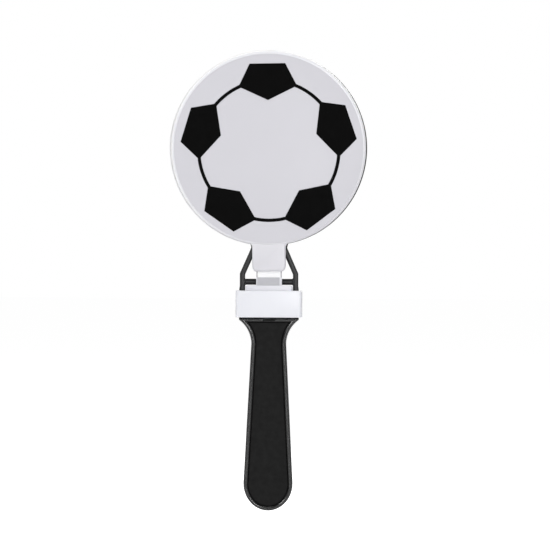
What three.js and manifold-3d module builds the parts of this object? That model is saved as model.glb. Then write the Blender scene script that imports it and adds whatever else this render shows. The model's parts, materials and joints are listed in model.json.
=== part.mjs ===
// A hand clapper. One black moulding is the grip, an open frame with a crossbar, and the striker disc.
// A white clapper disc lies on each side of the striker and swings on a thin web of its own plastic.
// Each web ends in a T-shaped foot that hooks under the crossbar, and a white collar that is pushed up
// over the grip closes round both feet.
//
// Millimetres, +Z up. The clapper is held upright: its discs are at the top and its front faces -Y.
// The origin is the middle of the grip, where the hand closes round it.
// The pieces are drawn lying on their backs about the crossbar's axis, with +Y towards the discs and
// +Z out of the front, and the last lines stand the whole up.
import * as THREE from "three";
import { mergeVertices } from "three/addons/utils/BufferGeometryUtils.js";
import Module from "manifold-3d";

// Clearances
const STRIKE_GAP = 0.3; // clapper disc to striker, closed
const SEAT_GAP = 0.15; // pieces that sit against each other
const COLLAR_FIT = 0.2; // collar bore to frame, each side
const LIP_GRAB = 0.1; // the grip's lip catches under the collar, each side
const LIP_REACH = 0.8; // the frame's legs run this far into the grip's lip
const LABEL_GLUE = 0.05;

// Discs
const DISC_RADIUS = 51.1;
const DISC_RISE = 19.1; // crossbar axis to the lowest edge of the discs
const DISC_EDGE = 1.2; // rounding of the front edge
const CLAPPER_DEPTH = 3.7;
const CLAPPER_WALL = 1.6;
const CLAPPER_RIM = 1.9;
const STRIKER_RIM_THICKNESS = 3.0;
const STRIKER_WEB_THICKNESS = 2.0;
const STRIKER_RIM = 2.4;
const FRONT_SWAY = 0.55; // degrees that a clapper hangs out of line on its soft web
const REAR_SWAY = 1.3;

// Neck of a clapper
const NECK_WIDTH = 17.6;
const NECK_FOOT = 5.45; // crossbar axis to the neck's end
const NECK_STEP = 0.4; // the neck's face lies this far below the disc's
const NECK_CORNER_WIDTH = 2.1; // its lower corners are quarters of an ellipse
const NECK_CORNER_RISE = 3.4;
const NECK_EDGE = 1.2;
const NECK_RIB = 1.4;
const NECK_POCKET = 1.0;
const NECK_END_WALL = 2.4; // plastic left between the pockets and the neck's end
const NECK_ROOT = 1.7; // the neck runs this far into the disc's rim

// Hinge web, tongue and foot
const WEB_WIDTH = 13.2;
const WEB_THICKNESS = 0.45;
const WEB_WAIST = 0.1; // each face of the web dips this much at the bend
const TONGUE_WIDTH = 13.5;
const TONGUE_TOP = 2.35; // above the crossbar axis
const FOOT_FLANGE = 1.55;
const FOOT_FLANGE_LAP = 0.4; // inside the collar the flange laps the legs, each side
const FOOT_CLEAR = 0.45; // above the collar it is narrower than the window, each side
const FOOT_SHOULDER = 0.5; // and narrows again towards its top
const FOOT_SPLIT = 0.4; // between the two feet, back to back
const FOOT_EDGE = 0.4;

// Frame
const BAR_DIAMETER = 3.2;
const FRAME_WIDTH = 30.7;
const FRAME_THICKNESS = 4.4;
const LEG_WIDTH = 2.8;
const LEG_RISE = 4.4; // crossbar axis to the bend, outside
const BRACE_SPREAD = 17.8; // across the two braces where they meet the striker
const BRACE_FILLET = 2.2;
const WINDOW_DROP = 13.9; // crossbar axis to the lower end of the window
const FRAME_EDGE = 0.5;
const NIB = 0.35; // stops on the legs that keep the collar down
const NIB_HEIGHT = 2.2;

// Collar
const COLLAR_DROP = 4.6; // crossbar axis to the collar's top
const COLLAR_HEIGHT = 14.1;
const COLLAR_WALL = 1.9;
const COLLAR_CORNER = 1.8;
const COLLAR_EDGE = 0.45;

// Grip
const GRIP_LENGTH = 101.3; // below the collar
const GRIP_WAIST = 18.2;
const WAIST_DROP = 14.0; // collar to waist
const FLARE_RADIUS = 16.0;
const GRIP_BUTT = 25.8;
const BUTT_LENGTH = 14.2;
const GRIP_RIM = 2.5;
const GRIP_PANEL = 1.2; // depth of the sunk panel, front and back
const GRIP_EDGE = 1.1;

// Label and its print: a football's five black patches, joined by a seam
const LABEL_MARGIN = 1.6;
const LABEL_DROP = 0.4; // the label sits a little low on the disc
const PRINT_DROP = 1.1; // and the print a little low on the label
const LABEL_THICKNESS = 0.15;
const INK_THICKNESS = 0.1;
const INK_GAP = 0.02;
const PATCHES = 5;
const PATCH_MARGIN = 3.3; // label's edge to the outer corners
const PATCH_SHOULDER = 9.5; // outer corners to side corners
const PATCH_POINT = 10.4; // side corners to the inner point
const PATCH_OUTER_ANGLE = 11.6;
const PATCH_SIDE_ANGLE = 23.3;
const SEAM_WIDTH = 1.35;
const PRINT_TURN = 1.0; // degrees

const ROUND_STEPS = 84; // facets round a disc
const CORNER_STEPS = 4;
const CURVE_STEPS = 14;

// Places that follow from the sizes
const degrees = THREE.MathUtils.degToRad;
const discCentre = DISC_RISE + DISC_RADIUS;
const barRadius = BAR_DIAMETER / 2;
const frameHalf = FRAME_THICKNESS / 2;
const legOut = FRAME_WIDTH / 2;
const legIn = legOut - LEG_WIDTH;
const strikerHalf = STRIKER_RIM_THICKNESS / 2;
const clapperBack = strikerHalf + STRIKE_GAP;
const clapperFront = clapperBack + CLAPPER_DEPTH;
const neckFront = clapperFront - NECK_STEP;
const neckBack = frameHalf + STRIKE_GAP;
const flangeBack = frameHalf + SEAT_GAP;
const footFront = flangeBack + FOOT_FLANGE;
const footTop = -barRadius - STRIKE_GAP;
const webBack = neckBack + SEAT_GAP;
const webFront = webBack + WEB_THICKNESS;
const webCentre = (TONGUE_TOP + NECK_FOOT) / 2;
const collarTop = -COLLAR_DROP;
const collarBottom = collarTop - COLLAR_HEIGHT;
const boreWidth = FRAME_WIDTH + 2 * COLLAR_FIT;
const boreDepth = 2 * (footFront + SEAT_GAP);
const collarWidth = boreWidth + 2 * COLLAR_WALL;
const collarDepth = boreDepth + 2 * COLLAR_WALL;
const gripTop = collarBottom - SEAT_GAP;
const gripHalf = footFront;
const labelRadius = DISC_RADIUS - LABEL_MARGIN;
const labelCentre = discCentre - LABEL_DROP;
const printCentre = labelCentre - PRINT_DROP;
const labelBack = clapperFront + LABEL_GLUE;
const inkBack = labelBack + LABEL_THICKNESS + INK_GAP;

const blackPlastic = new THREE.MeshStandardMaterial({ color: 0x1b1b1d, roughness: 0.42, metalness: 0 });
const whitePlastic = new THREE.MeshStandardMaterial({ color: 0xe9e9ef, roughness: 0.38, metalness: 0 });
const labelFilm = new THREE.MeshStandardMaterial({ color: 0xd6d6dd, roughness: 0.3, metalness: 0 });
const blackInk = new THREE.MeshStandardMaterial({ color: 0x0e0e0f, roughness: 0.35, metalness: 0 });

const wasm = await Module();
wasm.setup();

// A closed geometry as a solid that can be joined and cut.
function solid(geometry) {
  const bare = geometry.index ? geometry.toNonIndexed() : geometry.clone();
  bare.deleteAttribute("normal");
  bare.deleteAttribute("uv");
  const merged = mergeVertices(bare, 1e-4);
  const corners = Array.from(merged.index.array);
  const faces = [];
  for (let i = 0; i < corners.length; i += 3) {
    const [a, b, c] = corners.slice(i, i + 3);
    if (a !== b && b !== c && c !== a) faces.push(a, b, c);
  }
  return new wasm.Manifold(
    new wasm.Mesh({
      numProp: 3,
      vertProperties: merged.attributes.position.array,
      triVerts: new Uint32Array(faces),
    }),
  );
}

function geometryOf(body) {
  const { vertProperties, triVerts } = body.getMesh();
  const geometry = new THREE.BufferGeometry();
  geometry.setAttribute("position", new THREE.BufferAttribute(vertProperties, 3));
  geometry.setIndex(new THREE.BufferAttribute(triVerts, 1));
  const flat = geometry.toNonIndexed();
  flat.computeVertexNormals();
  return flat;
}

function join(first, ...others) {
  return others.reduce((whole, next) => whole.add(next), first);
}

function block(x0, x1, y0, y1, z0, z1) {
  const box = new THREE.BoxGeometry(x1 - x0, y1 - y0, z1 - z0);
  return solid(box.translate((x0 + x1) / 2, (y0 + y1) / 2, (z0 + z1) / 2));
}

// An outline in the XY plane, extruded from z0 to z1, with its edges rounded inwards by edge.
function slab(shape, z0, z1, edge = 0, curveSteps = CURVE_STEPS) {
  const geometry = new THREE.ExtrudeGeometry(shape, {
    depth: z1 - z0 - 2 * edge,
    curveSegments: curveSteps,
    bevelEnabled: edge > 0,
    bevelThickness: edge,
    bevelSize: edge,
    bevelOffset: -edge,
    bevelSegments: CORNER_STEPS - 1,
  });
  return solid(geometry.translate(0, 0, z0 + edge));
}

// A profile of [radius, z] points, from axis to axis, turned about a Z axis through (0, y).
function turned(profile, y) {
  const points = profile.map(([r, z]) => new THREE.Vector2(r, z));
  const geometry = new THREE.LatheGeometry(points, ROUND_STEPS);
  return solid(geometry.rotateX(Math.PI / 2).translate(0, y, 0));
}

// Points of a rounded corner, from one angle to another, for a turned profile.
function corner(r, z, radius, from, to) {
  return Array.from({ length: CORNER_STEPS + 1 }, (_, i) => {
    const angle = degrees(from + ((to - from) * i) / CORNER_STEPS);
    return [r + radius * Math.cos(angle), z + radius * Math.sin(angle)];
  });
}

function roundedBox(halfWidth, halfHeight, radius) {
  const shape = new THREE.Shape();
  const quarter = Math.PI / 2;
  shape.absarc(halfWidth - radius, halfHeight - radius, radius, 0, quarter);
  shape.absarc(radius - halfWidth, halfHeight - radius, radius, quarter, 2 * quarter);
  shape.absarc(radius - halfWidth, radius - halfHeight, radius, 2 * quarter, 3 * quarter);
  shape.absarc(halfWidth - radius, radius - halfHeight, radius, 3 * quarter, 4 * quarter);
  return shape;
}

// The grip's outline, moved inwards by inset: a short lip, a flare to the waist, a taper and a rounded
// butt. It starts at the collar, or higher by rise when the top is to be cut off square.
function gripOutline(inset, rise = 0) {
  const waistY = gripTop - WAIST_DROP;
  const waist = GRIP_WAIST / 2;
  const lip = boreWidth / 2 + LIP_GRAB - inset;
  const buttY = gripTop - GRIP_LENGTH + SEAT_GAP + BUTT_LENGTH;
  const flareX = waist + FLARE_RADIUS;
  const radius = FLARE_RADIUS + inset;
  const atLip = Math.acos((flareX - lip) / radius);
  const atTop = Math.asin((gripTop - inset - waistY) / radius);
  const opening = Math.min(atLip, atTop);
  const topHalf = flareX - radius * Math.cos(opening);
  const butt = GRIP_BUTT / 2 - inset;
  const shape = new THREE.Shape();
  shape.moveTo(-topHalf, gripTop - inset + rise);
  if (atLip < atTop || rise > 0) shape.lineTo(topHalf, gripTop - inset + rise);
  shape.absarc(flareX, waistY, radius, Math.PI - opening, Math.PI, false);
  shape.absellipse(0, buttY, butt, BUTT_LENGTH - inset, 0, -Math.PI, true);
  shape.absarc(-flareX, waistY, radius, 0, opening, false);
  return shape;
}

function grip() {
  const rise = 3 * GRIP_EDGE;
  const whole = slab(gripOutline(0, rise), -gripHalf, gripHalf, GRIP_EDGE);
  const side = FRAME_WIDTH;
  const above = block(-side, side, gripTop, gripTop + 2 * rise, -gripHalf - 1, gripHalf + 1);
  const body = whole.subtract(above);
  const panel = gripOutline(GRIP_RIM);
  const front = slab(panel, gripHalf - GRIP_PANEL, gripHalf + GRIP_PANEL);
  const back = slab(panel, -gripHalf - GRIP_PANEL, -gripHalf + GRIP_PANEL);
  return body.subtract(front).subtract(back);
}

// Half-width of the braces at a height, outside or inside their bars.
function braceAt(y, bendY, startHalf) {
  const lean = (legOut - BRACE_SPREAD / 2) / (DISC_RISE - LEG_RISE);
  return startHalf - lean * (y - bendY);
}

// The frame's outline up to topY: legs with stops for the collar, then braces that lean in to the disc.
function frameOutline(topY) {
  const nibY = collarTop + SEAT_GAP;
  const half = [
    [legOut, gripTop - LIP_REACH],
    [legOut, nibY],
    [legOut + NIB, nibY],
    [legOut, nibY + NIB_HEIGHT],
    [legOut, LEG_RISE],
    [braceAt(topY, LEG_RISE, legOut), topY],
  ];
  const mirrored = half.map(([x, y]) => [-x, y]).reverse();
  return new THREE.Shape([...half, ...mirrored].map(([x, y]) => new THREE.Vector2(x, y)));
}

// The window runs from inside the collar, past the crossbar, to just short of the disc.
function windowOutline() {
  const lean = Math.atan((legOut - BRACE_SPREAD / 2) / (DISC_RISE - LEG_RISE));
  const bendY = LEG_RISE - LEG_WIDTH * Math.tan(lean / 2);
  const topY = DISC_RISE - STRIKER_RIM;
  const radius = BRACE_FILLET;
  const topHalf = braceAt(topY, bendY, legIn);
  const shape = new THREE.Shape();
  shape.moveTo(-legIn, -WINDOW_DROP);
  shape.lineTo(legIn, -WINDOW_DROP);
  shape.lineTo(legIn, bendY);
  shape.lineTo(braceAt(topY - radius, bendY, legIn), topY - radius);
  shape.quadraticCurveTo(topHalf, topY, topHalf - radius, topY);
  shape.lineTo(radius - topHalf, topY);
  shape.quadraticCurveTo(-topHalf, topY, -braceAt(topY - radius, bendY, legIn), topY - radius);
  shape.lineTo(-legIn, bendY);
  shape.closePath();
  return shape;
}

function frame() {
  const thickTop = DISC_RISE - STRIKER_RIM;
  const joint = discCentre - DISC_RADIUS * Math.cos(Math.asin(BRACE_SPREAD / 2 / DISC_RADIUS));
  const thick = slab(frameOutline(thickTop), -frameHalf, frameHalf, FRAME_EDGE);
  const thin = slab(frameOutline(joint + STRIKER_RIM / 2), -strikerHalf, strikerHalf);
  const window = slab(windowOutline(), -frameHalf - 1, frameHalf + 1, 0, CORNER_STEPS);
  const bar = new THREE.CylinderGeometry(barRadius, barRadius, FRAME_WIDTH - LEG_WIDTH, CURVE_STEPS * 2);
  return join(thick, thin).subtract(window).add(solid(bar.rotateZ(Math.PI / 2)));
}

function strikerDisc() {
  const web = STRIKER_WEB_THICKNESS / 2;
  const inner = DISC_RADIUS - STRIKER_RIM;
  const edge = strikerHalf / 2;
  return turned(
    [
      [0, -web],
      [inner, -web],
      [inner + web, -strikerHalf],
      ...corner(DISC_RADIUS - edge, -strikerHalf + edge, edge, -90, 0),
      ...corner(DISC_RADIUS - edge, strikerHalf - edge, edge, 0, 90),
      [inner + web, strikerHalf],
      [inner, web],
      [0, web],
    ],
    discCentre,
  );
}

// The clapper's disc is a shallow pan, open towards the striker.
function clapperPan() {
  const inside = DISC_RADIUS - CLAPPER_RIM;
  return turned(
    [
      [0, clapperFront - CLAPPER_WALL],
      [inside, clapperFront - CLAPPER_WALL],
      [inside, clapperBack],
      [DISC_RADIUS, clapperBack],
      ...corner(DISC_RADIUS - DISC_EDGE, clapperFront - DISC_EDGE, DISC_EDGE, 0, 90),
      [0, clapperFront],
    ],
    discCentre,
  );
}

function neckOutline(top) {
  const half = NECK_WIDTH / 2;
  const shape = new THREE.Shape();
  shape.moveTo(half, top);
  shape.lineTo(-half, top);
  const centreX = half - NECK_CORNER_WIDTH;
  const centreY = NECK_FOOT + NECK_CORNER_RISE;
  const quarter = Math.PI / 2;
  shape.absellipse(-centreX, centreY, NECK_CORNER_WIDTH, NECK_CORNER_RISE, 2 * quarter, 3 * quarter);
  shape.absellipse(centreX, centreY, NECK_CORNER_WIDTH, NECK_CORNER_RISE, 3 * quarter, 4 * quarter);
  return shape;
}

// The neck is rounded along its front edges only, and has two pockets and a rib behind.
function neck() {
  const top = DISC_RISE + NECK_ROOT;
  const half = NECK_WIDTH / 2;
  const wall = CLAPPER_RIM;
  const rounded = slab(neckOutline(top + NECK_EDGE), -neckFront, neckFront, NECK_EDGE, CORNER_STEPS);
  const behind = block(-half - 1, half + 1, 0, top + wall, -neckFront - 1, neckBack);
  const above = block(-half - 1, half + 1, top, top + 2 * wall + NECK_EDGE, -neckFront - 1, neckFront + 1);
  const pocket = (x0, x1) =>
    block(x0, x1, NECK_FOOT + NECK_END_WALL, DISC_RISE, neckBack - 1, neckBack + NECK_POCKET);
  return rounded
    .subtract(behind)
    .subtract(above)
    .subtract(pocket(wall - half, -NECK_RIB / 2))
    .subtract(pocket(NECK_RIB / 2, half - wall));
}

// A side profile of [y, z] points, extruded across X.
function strip(profile, width) {
  const shape = new THREE.Shape(profile.map(([y, z]) => new THREE.Vector2(y, z)));
  const geometry = new THREE.ExtrudeGeometry(shape, { depth: width, bevelEnabled: false });
  const turn = new THREE.Matrix4().makeBasis(
    new THREE.Vector3(0, 1, 0),
    new THREE.Vector3(0, 0, 1),
    new THREE.Vector3(1, 0, 0),
  );
  return solid(geometry.applyMatrix4(turn).translate(-width / 2, 0, 0));
}

// The living hinge: a film that is thinnest at the bend.
function hingeWeb() {
  const bottom = TONGUE_TOP + SEAT_GAP;
  const top = NECK_FOOT - 2 * SEAT_GAP;
  const middle = (bottom + top) / 2;
  const quarter = (top - bottom) / 4;
  return strip(
    [
      [bottom, webBack],
      [middle - quarter, webBack],
      [middle, webBack + WEB_WAIST],
      [middle + quarter, webBack],
      [top, webBack],
      [top, webFront],
      [middle + quarter, webFront],
      [middle, webFront - WEB_WAIST],
      [middle - quarter, webFront],
      [bottom, webFront],
    ],
    WEB_WIDTH,
  );
}

// The foot: a plug in the window under the crossbar, a flange in front of the legs, and a tongue.
function anchorFoot() {
  const bottom = -WINDOW_DROP + SEAT_GAP;
  const lap = legIn + FOOT_FLANGE_LAP;
  const shown = legIn - FOOT_CLEAR;
  const right = [
    [lap, gripTop + SEAT_GAP],
    [lap, collarTop - 2 * COLLAR_EDGE],
    [shown, collarTop - COLLAR_EDGE],
    [shown - FOOT_SHOULDER, footTop],
  ];
  const left = right.map(([x, y]) => [-x, y]).reverse();
  const shape = new THREE.Shape([...right, ...left].map(([x, y]) => new THREE.Vector2(x, y)));
  const flange = slab(shape, flangeBack, footFront, FOOT_EDGE);
  const plugHalf = legIn - SEAT_GAP;
  const plug = block(-plugHalf, plugHalf, bottom, footTop - FOOT_EDGE, FOOT_SPLIT / 2, flangeBack + FOOT_EDGE * 2);
  const tongueBack = barRadius + STRIKE_GAP;
  const tongue = block(
    -TONGUE_WIDTH / 2,
    TONGUE_WIDTH / 2,
    footTop - 1,
    TONGUE_TOP,
    tongueBack,
    webFront,
  );
  return join(flange, plug, tongue);
}

function collar() {
  const outer = roundedBox(collarWidth / 2, collarDepth / 2, COLLAR_CORNER);
  const inner = roundedBox(boreWidth / 2, boreDepth / 2, COLLAR_CORNER / 2);
  const shell = slab(outer, collarTop - COLLAR_HEIGHT, collarTop, COLLAR_EDGE, CORNER_STEPS);
  const bore = slab(inner, collarTop - COLLAR_HEIGHT - 1, collarTop + 1, 0, CORNER_STEPS);
  const standing = geometryOf(shell.subtract(bore));
  // Drawn in plan, with its height along Z, then laid along the grip.
  return solid(standing.rotateX(-Math.PI / 2).rotateY(Math.PI));
}

function label() {
  const front = labelBack + LABEL_THICKNESS;
  const shape = new THREE.Shape();
  shape.absarc(0, labelCentre, labelRadius, 0, 2 * Math.PI);
  return slab(shape, labelBack, front, 0, ROUND_STEPS);
}

// One patch: a pentagon that points at the print's centre, by radius and angle from its axis.
function patch(turn) {
  const outer = labelRadius - PATCH_MARGIN;
  const side = outer - PATCH_SHOULDER;
  const corners = [
    [outer, -PATCH_OUTER_ANGLE],
    [outer, PATCH_OUTER_ANGLE],
    [side, PATCH_SIDE_ANGLE],
    [side - PATCH_POINT, 0],
    [side, -PATCH_SIDE_ANGLE],
  ];
  const points = corners.map(([radius, angle]) => {
    const a = degrees(90 + turn + angle);
    return new THREE.Vector2(radius * Math.cos(a), printCentre + radius * Math.sin(a));
  });
  return slab(new THREE.Shape(points), inkBack, inkBack + INK_THICKNESS);
}

function print() {
  const seam = labelRadius - PATCH_MARGIN - PATCH_SHOULDER;
  const ring = new THREE.Shape();
  ring.absarc(0, printCentre, seam + SEAM_WIDTH / 2, 0, 2 * Math.PI);
  const hole = new THREE.Path();
  hole.absarc(0, printCentre, seam - SEAM_WIDTH / 2, 0, 2 * Math.PI);
  ring.holes.push(hole);
  const line = slab(ring, inkBack, inkBack + INK_THICKNESS, 0, ROUND_STEPS);
  const patches = Array.from({ length: PATCHES }, (_, i) => patch(PRINT_TURN + (360 / PATCHES) * i));
  return join(line, ...patches);
}

function piece(name, body, material) {
  const mesh = new THREE.Mesh(geometryOf(body), material);
  mesh.name = name;
  return mesh;
}

// Everything of one clapper, drawn on the front side.
function clapperSide(side, sway) {
  const swinging = new THREE.Group();
  swinging.add(
    piece(side + "_clapper", join(clapperPan(), neck()), whitePlastic),
    piece(side + "_label", label(), labelFilm),
    piece(side + "_print", print(), blackInk),
  );
  // It sways about the middle of its web.
  const pivot = new THREE.Group();
  swinging.position.y = -webCentre;
  pivot.position.y = webCentre;
  pivot.rotation.z = degrees(sway);
  pivot.add(swinging);
  const group = new THREE.Group();
  group.add(
    pivot,
    piece(side + "_hinge_web", hingeWeb(), whitePlastic),
    piece(side + "_anchor_foot", anchorFoot(), whitePlastic),
  );
  return group;
}

const front = clapperSide("front", FRONT_SWAY);
// The rear clapper is the same moulding, turned over. Seen from the front it sways the same way.
const rear = clapperSide("rear", -REAR_SWAY);
rear.rotation.y = Math.PI;

const clapper = new THREE.Group();
clapper.add(
  piece("grip_and_striker", join(grip(), frame(), strikerDisc()), blackPlastic),
  piece("collar", collar(), whitePlastic),
  front,
  rear,
);
clapper.rotation.x = Math.PI / 2;
clapper.position.z = GRIP_LENGTH / 2 - gripTop;

export default clapper;
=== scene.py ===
# %% [markdown]
# # A hand clapper, dressed around its CAD model
#
# A hand clapper is a noise maker that a crowd shakes. A black moulding is the grip, an open frame and the
# striker disc in the middle. A white clapper disc lies on each side of the striker and swings on a thin
# web of its own plastic. The CAD model already says where everything is and how big it is. This script
# makes each surface look like the real one and never moves or resizes a part of the model.
#
# Everything is in metres, with Z up. The clapper faces -Y, so a camera that looks along +Y sees its
# front.

import json
import math

import bmesh
import bpy
from mathutils import Matrix, Vector


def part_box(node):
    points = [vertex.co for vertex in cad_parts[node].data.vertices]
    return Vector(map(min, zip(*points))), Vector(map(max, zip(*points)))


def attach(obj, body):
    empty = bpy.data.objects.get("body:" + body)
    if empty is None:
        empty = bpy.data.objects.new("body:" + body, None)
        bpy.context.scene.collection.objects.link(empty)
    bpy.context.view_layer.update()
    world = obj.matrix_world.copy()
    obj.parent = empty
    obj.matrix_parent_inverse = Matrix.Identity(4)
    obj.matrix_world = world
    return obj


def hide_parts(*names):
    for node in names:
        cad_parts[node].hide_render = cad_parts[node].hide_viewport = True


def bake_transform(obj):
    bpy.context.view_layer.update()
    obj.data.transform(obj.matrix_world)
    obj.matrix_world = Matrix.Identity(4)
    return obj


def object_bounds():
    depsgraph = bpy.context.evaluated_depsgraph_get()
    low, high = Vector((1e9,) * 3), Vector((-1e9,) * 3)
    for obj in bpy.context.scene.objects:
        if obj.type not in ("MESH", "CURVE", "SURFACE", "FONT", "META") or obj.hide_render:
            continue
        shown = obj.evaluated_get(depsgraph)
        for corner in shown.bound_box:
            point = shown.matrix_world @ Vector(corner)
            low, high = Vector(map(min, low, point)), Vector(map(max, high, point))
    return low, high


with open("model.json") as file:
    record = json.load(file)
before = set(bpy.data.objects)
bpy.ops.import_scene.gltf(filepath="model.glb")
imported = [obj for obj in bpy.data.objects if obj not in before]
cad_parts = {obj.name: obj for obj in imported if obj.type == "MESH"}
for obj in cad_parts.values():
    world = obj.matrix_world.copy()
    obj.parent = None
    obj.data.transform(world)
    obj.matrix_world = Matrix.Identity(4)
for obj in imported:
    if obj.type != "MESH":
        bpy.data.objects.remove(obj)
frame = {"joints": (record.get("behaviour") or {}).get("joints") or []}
cad_bounds = [list(corner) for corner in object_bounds()]
scene = bpy.context.scene
print("CAD box in metres:", cad_bounds)

# %% [markdown]
# ## Places that come from the model
#
# The boxes of the model's nodes place everything: the discs, the grip's butt, the collar, the thin web.
# What a box can't say, such as the width of a leg, is a named size in millimetres.

# %% Read the places
mm = 0.001
SIDES = ("front", "rear")
TONGUE_RISE = 2.35 * mm  # crossbar axis to the top of the tongue

core_low, core_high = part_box("grip_and_striker")
foot_low, foot_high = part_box("front_anchor_foot")
bar_z = foot_high.z - TONGUE_RISE
disc_radius = core_high.x
disc_centre = Vector((0, 0, core_high.z - disc_radius))
hinges = {joint["name"]: Vector(joint["pos_m"]) for joint in frame["joints"]}
front_hinge = hinges["front_paddle_swing"]
print("crossbar at z", round(bar_z / mm, 2), "mm")
print("front hinge at", [round(v / mm, 3) for v in front_hinge], "mm")

# %% [markdown]
# ## The camera
#
# The picture was taken straight on, from so far away that nothing shows perspective. An orthographic
# camera could do that, but a long lens gives the same flatness and still behaves as a real one from other
# sides. Its focal length follows from the width that the picture takes in at the middle of the clapper.
# The clapper leans by a third of a degree in the picture, so the camera rolls by that much.

# %% Make the camera
PICTURE_WIDTH = 288.75 * mm
CAMERA_DISTANCE = 1.6
PICTURE_CENTRE_X = 3.1 * mm
PICTURE_CENTRE_RISE = 3.6 * mm  # above the crossbar
CAMERA_ROLL = math.radians(-0.3)
FAR_END = 50  # nothing beyond it is drawn

camera_data = bpy.data.cameras.new("Camera")
camera_data.lens = camera_data.sensor_width * CAMERA_DISTANCE / PICTURE_WIDTH
camera_data.clip_end = FAR_END
camera = bpy.data.objects.new("Camera", camera_data)
place = Matrix.Translation((PICTURE_CENTRE_X, -CAMERA_DISTANCE, bar_z + PICTURE_CENTRE_RISE))
roll = Matrix.Rotation(CAMERA_ROLL, 4, "Y")
camera.matrix_world = place @ roll @ Matrix.Rotation(math.pi / 2, 4, "X")
scene.collection.objects.link(camera)
scene.camera = camera
print("focal length", round(camera_data.lens), "mm")

# %% [markdown]
# ## How the materials are built
#
# Every finish is a Principled shader with a little node tree. Colours are written as sRGB hex values, as
# a colour picker shows them, and one function turns them into the linear values that a renderer works in.
# Another adds a node with its settings and links. The shader's own IOR of 1.5 is close to polypropylene's
# 1.49, so it stays. Patterns could come from pictures, but noise needs no file and shows no seam. It
# reads Object coordinates, which are metres here, so features one millimetre apart need a scale of 1000.


# %% Helpers for materials
def linear(hex_colour):
    """The linear colour of an sRGB hex value such as '#D7D6DB'."""
    channels = [int(hex_colour[i : i + 2], 16) / 255 for i in (1, 3, 5)]
    return [c / 12.92 if c <= 0.04045 else ((c + 0.055) / 1.055) ** 2.4 for c in channels] + [1.0]


def add(tree, kind, inputs, **settings):
    """Adds a node, sets its properties, and gives each input a value or a link."""
    made = tree.nodes.new(kind)
    for name, value in settings.items():
        setattr(made, name, value)
    for socket, value in inputs.items():
        if isinstance(value, bpy.types.NodeSocket):
            tree.links.new(value, made.inputs[socket])
        else:
            made.inputs[socket].default_value = value
    return made


def new_material(name, **constants):
    """A material and its Principled shader, with values on the shader's own sockets."""
    material = bpy.data.materials.new(name)
    material.use_nodes = True
    shader = material.node_tree.nodes["Principled BSDF"]
    for socket, value in constants.items():
        shader.inputs[socket.replace("_", " ")].default_value = value
    return material, shader


# %% A moulded plastic
GLOSSIER = 0.05  # how far the roughness strays from its middle
DULLER = 0.06
GRAIN_STRENGTH = 0.5


def per(size):
    """The texture scale whose features are about this size in metres."""
    return 1 / size


def plastic(name, colour, darker, roughness, grain, grain_depth, patch=18 * mm, **constants):
    """A moulded plastic: a cloudy colour, uneven gloss and a fine grain left by the mould."""
    material, shader = new_material(name, **constants)
    tree = material.node_tree
    where = add(tree, "ShaderNodeTexCoord", {}).outputs["Object"]
    clouds = add(tree, "ShaderNodeTexNoise", {"Vector": where, "Scale": per(patch), "Detail": 3.0})
    cloudy = {"Factor": clouds.outputs["Fac"], "A": linear(colour), "B": linear(darker)}
    mixed = add(tree, "ShaderNodeMix", cloudy, data_type="RGBA")
    tree.links.new(mixed.outputs["Result"], shader.inputs["Base Color"])
    limits = {"To Min": roughness - GLOSSIER, "To Max": roughness + DULLER}
    gloss = add(tree, "ShaderNodeMapRange", {"Value": clouds.outputs["Fac"]} | limits)
    tree.links.new(gloss.outputs["Result"], shader.inputs["Roughness"])
    spark = add(tree, "ShaderNodeTexNoise", {"Vector": where, "Scale": per(grain), "Detail": 2.0})
    grains = {"Height": spark.outputs["Fac"], "Distance": grain_depth, "Strength": GRAIN_STRENGTH}
    bump = add(tree, "ShaderNodeBump", grains)
    tree.links.new(bump.outputs["Normal"], shader.inputs["Normal"])
    return material


# %% [markdown]
# ## The black finishes
#
# The grip, the frame and the striker are one moulding of black polypropylene. Its mould was cut by spark
# erosion, which leaves a fine grain. The bead round the grip was polished afterwards, and the panel that
# the fingers press was etched. One black for all of it would look like a toy, so each has its own finish.
# The real grain is finer than a picture shows, so it is drawn half a millimetre to a millimetre coarse.
# On the bead only slow waves of a few millimetres are left.

# %% Make the black finishes
# The grain spreads highlights into a satin sheen.
frame_pp = plastic(
    "Black polypropylene, spark-eroded",
    "#202021",
    "#252526",
    roughness=0.33,
    grain=0.8 * mm,
    grain_depth=0.008 * mm,
    Specular_IOR_Level=0.35,
)
# Polish keeps highlights sharp, so the bead shows a bright line.
bead_pp = plastic(
    "Black polypropylene, polished",
    "#0C0C0D",
    "#111112",
    roughness=0.24,
    grain=3 * mm,
    grain_depth=0.003 * mm,
    Specular_IOR_Level=0.75,
)
# Tiny pits swallow reflections, so the panel looks flat and even.
panel_pp = plastic(
    "Black polypropylene, etched",
    "#0A0A0A",
    "#222222",
    roughness=0.66,
    grain=0.9 * mm,
    grain_depth=0.05 * mm,
    patch=3 * mm,
    Specular_IOR_Level=0.12,
)
# Ink dries matt and is the deepest black.
black_ink = plastic(
    "Screen-printed black ink",
    "#020202",
    "#0B0B0B",
    roughness=0.6,
    grain=0.5 * mm,
    grain_depth=0.003 * mm,
    patch=4 * mm,
    Specular_IOR_Level=0.04,
)
print("black finishes:", [m.name for m in (frame_pp, bead_pp, panel_pp, black_ink)])
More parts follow.
